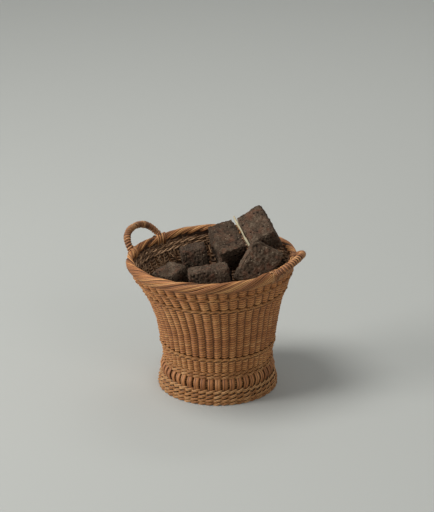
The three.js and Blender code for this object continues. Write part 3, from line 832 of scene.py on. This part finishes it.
for label, bottom, top, seed in (
    ("lower", WAIST_LOW, WAIST_MIDDLE, 15), ("upper", WAIST_MIDDLE, WAIST_HIGH, 16),
):
    dress(rows(f"waist_wale_{label}_rods", WILLOW_FOOT, bottom, top, 1, proud=1.2, swing=4.2,
               rise=2.0, width=5.8, thickness=5.0, seed=seed, **STOUT), "basket", "willow",
          f"waist_wale_{label}")

# Outer line of the bulging slats: radius and height
SLAT_LINE = np.array([
    (128.5, 4), (128.5, 30), (130.5, 38), (132.6, 44), (133, 49), (131.5, 54), (128, 59),
    (124.5, 64), (123, 76),
])
SLAT_DEPTH = 1.5
BACKING_DEPTH = 8.2


def slat_radius(height):
    """The radius of the slats' outer line at a height."""
    return np.interp(height, SLAT_LINE[:, 1], SLAT_LINE[:, 0])


slat_heights = np.linspace(4, 76, 19)
slats = []
for number in range(STAKES):
    angle = np.full_like(slat_heights, number * STAKE_STEP + rng.normal(0, 0.004))
    out = slat_radius(slat_heights) + rng.normal(0, 0.4)
    slats.append({
        "points": on_wall(out - SLAT_DEPTH, angle, slat_heights), "outward": outwards(angle),
        "girth": 1.0 + rng.normal(0, 0.03), "hollow": 0.1, "tone": rng.random(),
    })
slat_splints = rods_along("foot_slat_splints", WILLOW_SLAT, slats, width=12.7, thickness=6.0,
                          sides=12)
# A row of rods stands behind the gaps between the slats
ring_angle = np.linspace(0, TURN, 2 * STAKES + 1)
slat_backing = rods_along("foot_slat_backing", WILLOW_FOOT, [{
    "points": on_wall(slat_radius(height) - BACKING_DEPTH, ring_angle,
                      np.full_like(ring_angle, height)),
    "outward": outwards(ring_angle), "girth": 1.0, "hollow": 0.0, "tone": 0.6,
} for height in np.arange(38, 60, 5)], width=6, thickness=6)
dress(joined("foot_slat_splints", slat_splints, slat_backing), "basket", "willow_pale",
      "foot_slats")

# Base

BASE_MIDDLE = 72.4
BASE_HALFWAY = 62
BASE_STICKS = 32
# The inner rows pass every second stick, the outer rows every stick
FLAT = {"lying": 1.0, "swing": 2.8, "rise": 1.2, "width": 5, "thickness": 3}
base_inner = rows("base_inner_rows", WILLOW_INSIDE, BASE_MIDDLE, 0, 8, stakes=BASE_STICKS // 2,
                  steps=12, inner=18, outer=BASE_HALFWAY, seed=21, **FLAT)
base_outer = rows("base_outer_rows", WILLOW_INSIDE, BASE_MIDDLE, 0, 10, stakes=BASE_STICKS,
                  steps=9, inner=BASE_HALFWAY, outer=117, seed=22, **FLAT)
sticks = []
for number in range(BASE_STICKS):
    reach = np.linspace(8 if number % 2 == 0 else BASE_HALFWAY - 8, 118, 12)
    angle = np.full_like(reach, number * TURN / BASE_STICKS)
    sticks.append({
        "points": on_wall(reach, angle, np.full_like(reach, BASE_MIDDLE)),
        "outward": np.tile((0.0, 0.0, 1.0), (len(reach), 1)),
        "girth": np.linspace(1.0, 0.8, len(reach)), "hollow": 0.4, "tone": rng.random(),
    })
# Three sticks cross three others in the middle, one set above the other
for number in range(6):
    side = (number % 3 - 1) * 6.5
    reach = np.linspace(-22, 22, 8)
    above = number < 3
    points = np.stack([
        FOOT_AXIS + (reach if above else np.full_like(reach, side)),
        np.full_like(reach, side) if above else reach,
        np.full_like(reach, BASE_MIDDLE + (2.6 if above else -2.6)),
    ], -1)
    sticks.append({
        "points": points, "outward": np.tile((0.0, 0.0, 1.0), (len(reach), 1)),
        "girth": 1.2, "hollow": 0.2, "tone": rng.random(),
    })
base_sticks = rods_along("base_stick_rods", WILLOW_INSIDE, sticks, width=5, thickness=4)
dress(joined("base_rods", base_inner, base_outer, base_sticks), "basket", "willow_dark",
      "base_weave_upper", "base_weave_lower", "base_sticks")

# Border

# Each strand of the roll passes this many stakes on its way once round the section
ROLL_STRANDS = 8
ROLL_ROD_THICKNESS = 3.8
# The turns of a lashing, the steps in each, and the angle round the rim that it covers
LASHING_TURNS = 4
LASHING_STEPS = 26
LASHING_REACH = 0.15


def on_roll(angle, section, inset):
    """Points in millimetres on the border's oval section, and the directions out of it."""
    reach_out = ROLL_WIDTH / 2 - inset
    reach_up = ROLL_HEIGHT / 2 - inset
    points = on_wall(ROLL_RADIUS + reach_out * np.cos(section), angle,
                     np.full_like(angle, ROLL_MIDDLE))
    points[:, 2] = roll_height(angle) + reach_up * np.sin(section)
    outward = np.stack([
        np.cos(section) / reach_out * np.cos(angle), np.cos(section) / reach_out * np.sin(angle),
        np.sin(section) / reach_up,
    ], -1)
    return points, outward / np.linalg.norm(outward, axis=1, keepdims=True)


# Every stake ends in a pair of rods that winds once round the roll, from below to below
border_rods = []
for number in range(STAKES):
    strand_proud = rng.normal(0, 0.8)
    strand_shift = rng.normal(0, 0.09)
    start = 0.12 * rng.random()
    end = 1 - 0.1 * rng.random()
    for partner in (-1, 1):
        share = np.linspace(0, 1, 41)
        along_rim = start + (end - start) * share
        angle = number * STAKE_STEP + along_rim * STAKE_STEP * ROLL_STRANDS
        section = (-math.pi * 5 / 6 + along_rim * TURN + strand_shift
                   + partner * (0.15 + 0.04 * rng.random()))
        # Both ends dive into the roll
        dive = np.clip(1 - np.minimum(share, 1 - share) / 0.07, 0, 1)
        inset = ROLL_ROD_THICKNESS / 2 + 3.4 * dive - strand_proud + 0.5 * rng.random()
        inset = inset + 0.5 * np.sin(share * 9 + number * 2.4)
        points, outward = on_roll(angle, section, inset)
        border_rods.append({
            "points": points, "outward": outward,
            "girth": (1.06 - 0.16 * share) * (1 + rng.normal(0, 0.07)),
            # Painted shade: darker where the rod dives into the roll and on the roll's inner side
            "hollow": 0.05 + 0.5 * dive + 0.1 * np.clip(-1.5 * np.cos(section) - 0.3, 0, 1),
            "tone": rng.random(),
        })
border = rods_along("border_rods", WILLOW_BORDER, border_rods, width=5.6,
                    thickness=ROLL_ROD_THICKNESS, sides=10)
# Three rings fill the roll; a hollow of 0.9 paints them mostly dark, as painted shade inside the
# roll
core_paths = []
for ring_height in (-5.5, 0, 5.5):
    points = on_wall(ROLL_RADIUS, ring_angle, np.full_like(ring_angle, ROLL_MIDDLE))
    points[:, 2] = roll_height(ring_angle) + ring_height
    core_paths.append({
        "points": points, "outward": outwards(ring_angle), "girth": 1.0, "hollow": 0.9,
        "tone": 0.2,
    })
border_core = rods_along("border_core", WILLOW_BORDER, core_paths, width=11, thickness=12)

# The feet of the handles are lashed to the border with a few turns of a split rod
lashings = []
for turn_degrees in HANDLE_TURNS:
    for foot in (-1, 1):
        middle = math.radians(turn_degrees) + foot * HALF_HANDLE
        wind = np.linspace(0, TURN * LASHING_TURNS, LASHING_STEPS * LASHING_TURNS + 1)
        wander = np.interp(wind / TURN, range(LASHING_TURNS + 1),
                           rng.normal(0, 0.012, LASHING_TURNS + 1))
        angle = (middle + (wind / wind[-1] - 0.5) * LASHING_REACH + wander
                 + 0.02 * np.sin(wind))
        points, outward = on_roll(angle, wind + 1.2, np.full_like(wind, 0.1))
        tones = rng.random(LASHING_TURNS + 1)
        lashings.append({
            "points": points, "outward": outward, "girth": 1.0, "hollow": 0.05,
            "tone": np.repeat(tones, LASHING_STEPS)[:len(wind)],
        })
lashing = rods_along("border_lashing", WILLOW_LASHING, lashings, width=6.6, thickness=4.2,
                     sides=9)
dress(joined("border_roll", border, border_core, lashing), "basket", "willow", "border")

# Handles

HANDLES = (
    # name, angle round the rim, lean outwards, rise above the border's middle, skew of the top
    # towards the second foot as a share of half the span
    ("left", HANDLE_TURNS[0], 37, 52.5, 0.09),
    ("right", HANDLE_TURNS[1], 52, 50.5, -0.17),
)
CORE_WIDTH = 12
# The turns of the strand, the steps in each, and its distance from the arch's middle
WRAP_TURNS = 22
WRAP_STEPS = 16
WRAP_REACH = 6.2
# Below 1 the arch has fuller shoulders than half an ellipse
ARCH_FULLNESS = 0.86


def fuller(values):
    """A sine or cosine that stays longer near its ends."""
    return np.sign(values) * np.abs(values) ** ARCH_FULLNESS


def make_handle(label, turn_degrees, lean_degrees, rise, skew):
    """A leaning arch of rods with a strand wound round it, from one foot to the other."""
    turn = math.radians(turn_degrees)
    lean = math.radians(lean_degrees)
    feet = on_wall(BORDER_RADIUS, np.array([turn - HALF_HANDLE, turn + HALF_HANDLE]),
                   np.array([BORDER_MIDDLE, BORDER_MIDDLE]))
    middle = feet.mean(axis=0)
    across = (feet[0] - feet[1]) / 2
    outward = np.array([across[1], -across[0], 0.0])
    outward /= np.linalg.norm(outward)
    if outward @ (middle - np.array([FOOT_AXIS, 0, middle[2]])) < 0:
        outward = -outward
    up = outward * math.sin(lean) + np.array([0, 0, math.cos(lean)])
    side = np.cross(across / np.linalg.norm(across), up)

    def arch(share):
        swing = np.pi * np.asarray(share)[..., None]
        sideways = fuller(np.cos(swing)) - skew * np.sin(swing)
        return middle + across * sideways + up * rise * fuller(np.sin(swing))

    def inwards(share):
        along = arch(share + 0.002) - arch(share - 0.002)
        along /= np.linalg.norm(along, axis=-1, keepdims=True)
        return np.cross(side, along)

    core_share = np.linspace(0, 1, 41)
    # The rod under the strand is painted a little darker with its hollow, as painted shade
    core = rods_along(f"{label}_handle_rod", WILLOW_HANDLE, [{
        "points": arch(core_share), "outward": inwards(core_share), "girth": 1.0,
        "hollow": 0.5, "tone": 0.4,
    }], width=CORE_WIDTH, thickness=CORE_WIDTH, sides=12)
    wrap_share = np.linspace(0.04, 0.96, WRAP_TURNS * WRAP_STEPS + 1)
    wind = np.linspace(0, WRAP_TURNS * TURN, len(wrap_share))
    direction = inwards(wrap_share) * np.cos(wind)[:, None] + side * np.sin(wind)[:, None]
    # Each turn of the strand has its own shade, reach and girth
    tone, reach, girth = (
        np.interp(wind / TURN, np.arange(WRAP_TURNS + 1), values) for values in (
            rng.random(WRAP_TURNS + 1),
            rng.normal(0, 0.35, WRAP_TURNS + 1),
            rng.normal(1.0, 0.08, WRAP_TURNS + 1),
        )
    )
    wrap = rods_along(f"{label}_handle_strand", WILLOW_HANDLE, [{
        "points": arch(wrap_share) + direction * (WRAP_REACH + reach)[:, None],
        "outward": direction, "girth": girth, "hollow": 0.05, "tone": tone,
    }], width=6.2, thickness=4.6, sides=10)
    dress(core, "basket", "willow", f"{label}_handle_core")
    dress(wrap, "basket", "willow_pale", f"{label}_handle_wrap")


for handle in HANDLES:
    make_handle(*handle)

# Peat


def box_frame(node):
    """Middle, three edge directions and three half lengths of a CAD box, however turned."""
    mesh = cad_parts[node].data
    corners = np.unique(np.array([tuple(v.co) for v in mesh.vertices]).round(6), axis=0)
    origin = corners[0]
    others = sorted((corner - origin for corner in corners[1:]), key=np.linalg.norm)
    edges = []
    for edge in others:
        unit = edge / np.linalg.norm(edge)
        if all(abs(unit @ known / np.linalg.norm(known)) < 0.02 for known in edges):
            edges.append(edge)
        if len(edges) == 3:
            break
    if np.linalg.det(np.array(edges)) < 0:
        edges[2] = -edges[2]
    halves = np.array([np.linalg.norm(edge) / 2 for edge in edges])
    axes = np.array([edge / np.linalg.norm(edge) for edge in edges])
    return corners.mean(axis=0), axes, halves


def cube_grid(count):
    """Points and quads of a cube from -1 to 1 whose faces are grids."""
    points = {}
    quads = []
    ticks = np.linspace(-1, 1, count + 1)

    def number(point):
        key = tuple(round(value, 5) for value in point)
        return points.setdefault(key, len(points))

    for axis in range(3):
        for sign in (-1.0, 1.0):
            for u in range(count):
                for v in range(count):
                    ring = []
                    for du, dv in ((0, 0), (1, 0), (1, 1), (0, 1)):
                        point = [0.0, 0.0, 0.0]
                        point[axis] = sign
                        point[(axis + 1) % 3] = ticks[u + du]
                        point[(axis + 2) % 3] = ticks[v + dv]
                        ring.append(number(point))
                    quads.append(ring if sign > 0 else ring[::-1])
    return np.array(list(points)), quads


def crumbling(here, offset, layering):
    """How far a point of a block's face is worn away, in millimetres, and its pits."""
    lump = noise.noise(here / 15 + offset)
    crumb = noise.turbulence(here / 6 + offset, 3, False)
    # Layers of the bog: shallow grooves across one direction
    level = here.dot(layering)
    groove = noise.noise(Vector((level / 2.6, here.x / 30, here.y / 30)) + offset)
    distances, cells = noise.voronoi(here / 9 + offset)
    chosen = noise.cell(cells[0] * 3.7) > 0.1
    pit = max(0.0, 1 - distances[0] / 0.42) if chosen else 0.0
    wear = 1.5 * lump + 1.9 * crumb + 1.3 * groove + 3.0 * pit
    return wear, pit + max(0.0, groove) * 0.5 + crumb * 0.35


def rough_block(name, node, material, count, rounding, crumble, seed, reach=(0, 0, 0),
                layering=(0.2, 0.1, 1)):
    """A block of cut peat: rounded, dented, crumbled along its edges, with layered faces.
    The side towards reach stands out by reach's length in millimetres."""
    centre, axes, halves = box_frame(node)
    grid, quads = cube_grid(count)
    local = grid * halves
    inner = halves - rounding * MM
    core = np.clip(local, -inner, inner)
    away = local - core
    length = np.linalg.norm(away, axis=1, keepdims=True)
    normal = np.where(length > 1e-9, away / np.maximum(length, 1e-9), grid)
    normal /= np.linalg.norm(normal, axis=1, keepdims=True)
    placed = core + normal * np.minimum(length, rounding * MM)
    # Near 1 along the block's edges only
    edge = np.sort(np.abs(grid), axis=1)[:, 1] ** 7
    offset = Vector((seed * 3.1, seed * 1.7, seed * 0.9))
    layering = Vector(layering).normalized()
    depth = np.empty(len(placed))
    pits = np.empty(len(placed))
    for at, point in enumerate(placed):
        here = Vector(point) / MM
        wear, pits[at] = crumbling(here, offset, layering)
        broad = noise.noise(here / 36 + offset)
        chip = max(0.0, noise.noise(here / 19 + offset * 2) + 0.15)
        depth[at] = wear + 2.2 * broad + crumble * edge[at] * (1.5 + 8 * chip)
    # About an eighth of the surface stands a little above the CAD block's faces
    lowered = depth - np.quantile(depth, 0.12)
    placed = placed - normal * (lowered * MM)[:, None]
    turned = placed @ axes
    direction = np.asarray(reach, dtype=float)
    if direction.any():
        unit = direction / np.linalg.norm(direction)
        side = turned @ unit / np.abs(turned @ unit).max()
        turned = turned + np.clip(side, 0, 1)[:, None] * direction * MM
    mesh = bpy.data.meshes.new(name)
    mesh.from_pydata([tuple(point) for point in centre + turned], [], quads)
    note(mesh, "block_place", placed + seed * 0.37)
    note(mesh, "hollow", pits)
    note(mesh, "tone", np.full(len(turned), (seed * 0.618) % 1))
    mesh.shade_smooth()
    mesh.materials.append(material)
    return linked(name, mesh)


TOP_BLOCKS = (
    # name, how far a side reaches beyond the plain solid, direction of the layers
    ("back_right", (0, 0, 0), (0.3, 1, 0.2)),
    ("middle", (8.5, 0, 2.5), (0.2, 1, 0.3)),
    ("front_right", (4, 0, -1), (1, 0.3, 0.2)),
    ("front_middle", (0, 0, 0), (0.1, 0.1, 1)),
    ("back_left", (0, 0, 0), (1, 0.1, 0.1)),
    ("front_left", (0, 0, 0), (0.2, 0.1, 1)),
)
for number, (label, reach, layering) in enumerate(TOP_BLOCKS):
    block = rough_block(f"peat_block_{label}", f"peat_{label}", PEAT, count=68, rounding=4,
                        crumble=1.0, seed=number + 1, reach=reach, layering=layering)
    dress(block, f"block_{label}", "peat", f"peat_{label}")
# The hidden blocks are plainer, and painted darker as shade
for number, node in enumerate(sorted(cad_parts)):
    if node.startswith(("peat_under", "peat_deep")):
        block = rough_block(node + "_block", node, PEAT_DEEP, count=20, rounding=5,
                            crumble=0.7, seed=number + 20)
        dress(block, "basket", "peat_deep", node)

# The reed strip is bowed a little, and wider on both sides of its middle
reed_centre, reed_axes, reed_halves = box_frame("reed_stem")
reed_order = np.argsort(reed_halves)
reed_along = reed_axes[reed_order[2]]
reed_thin = reed_axes[reed_order[0]]
reed_share = np.linspace(-1, 1.22, 41)
reed_points = reed_centre / MM + np.outer(reed_share * reed_halves[reed_order[2]] / MM, reed_along)
reed_points += np.outer(0.5 * np.sin(reed_share * 5), reed_thin)
reed_girth = (0.5 + 0.5 * np.exp(-((reed_share - 0.6) / 0.3) ** 2)
              + 0.35 * np.exp(-((reed_share + 0.6) / 0.3) ** 2))
reed = rods_along("reed_strip", REED, [{
    "points": reed_points, "outward": np.tile(reed_thin, (len(reed_share), 1)),
    "girth": reed_girth, "hollow": 0.0, "tone": 0.6,
}], width=7, thickness=8, sides=10)
dress(reed, "block_back_right", "reed", "reed_stem")

# Floor, light and camera, with their places and sizes in metres

FLOOR_REACH = 9


def studio_floor():
    """A wide floor of pale paper: it fills the picture without a wall behind the basket."""
    corners = [(side * FLOOR_REACH, depth * FLOOR_REACH, 0)
               for side, depth in ((-1, -1), (1, -1), (1, 1), (-1, 1))]
    mesh = bpy.data.meshes.new("studio_floor")
    mesh.from_pydata(corners, [], [(0, 1, 2, 3)])
    floor = linked("studio_floor", mesh)
    material, tree, surface = new_material("matte paper")
    connect(tree, surface, {
        "Base Color": linear("aeafaa"), "Roughness": 0.9, "Specular IOR Level": 0.1,
    })
    mesh.materials.append(material)


def soft_lamp(name, place, target, size, power):
    """A round white lamp that faces its target."""
    data = bpy.data.lights.new(name, "AREA")
    data.shape = "DISK"
    data.size = size
    data.energy = power
    lamp = linked(name, data)
    lamp.location = place
    aim = Vector(target) - Vector(place)
    lamp.rotation_euler = aim.to_track_quat("-Z", "Y").to_euler()


studio_floor()
soft_lamp("key_lamp", (-1.7, -0.3, 4.2), (0.2, 0, 0.2), 2.3, 120)
soft_lamp("left_lamp", (-6.0, -1.7, 2.1), (0, 0, 0.2), 2.8, 285)
soft_lamp("front_lamp", (2.0, -3.2, 2.6), (0.2, 0, 0.2), 2.0, 26)
soft_lamp("back_lamp", (0.6, 2.2, 3.6), (0, 4.6, 0), 2.0, 36)
world = bpy.data.worlds.new("studio")
world.use_nodes = True
world.node_tree.nodes["Background"].inputs["Color"].default_value = linear("eef1f2")
world.node_tree.nodes["Background"].inputs["Strength"].default_value = 0.37
bpy.context.scene.world = world

# The focal length and the photograph's longer side are in pixels, the angle in degrees
FOCAL_PIXELS = 2036
LONG_SIDE = 512
SENSOR = 36
LOOK_DOWN = 21.526
CAMERA_PLACE = (FOOT_AXIS * MM - 0.0016, -4.379, 2.0436)
camera_data = bpy.data.cameras.new("camera")
camera_data.sensor_width = SENSOR
camera_data.lens = SENSOR * FOCAL_PIXELS / LONG_SIDE
camera_data.clip_end = 50
camera = linked("camera", camera_data)
camera.location = CAMERA_PLACE
camera.rotation_euler = (math.radians(90 - LOOK_DOWN), 0, 0)
bpy.context.scene.camera = camera
bpy.context.scene.view_settings.view_transform = "Standard"
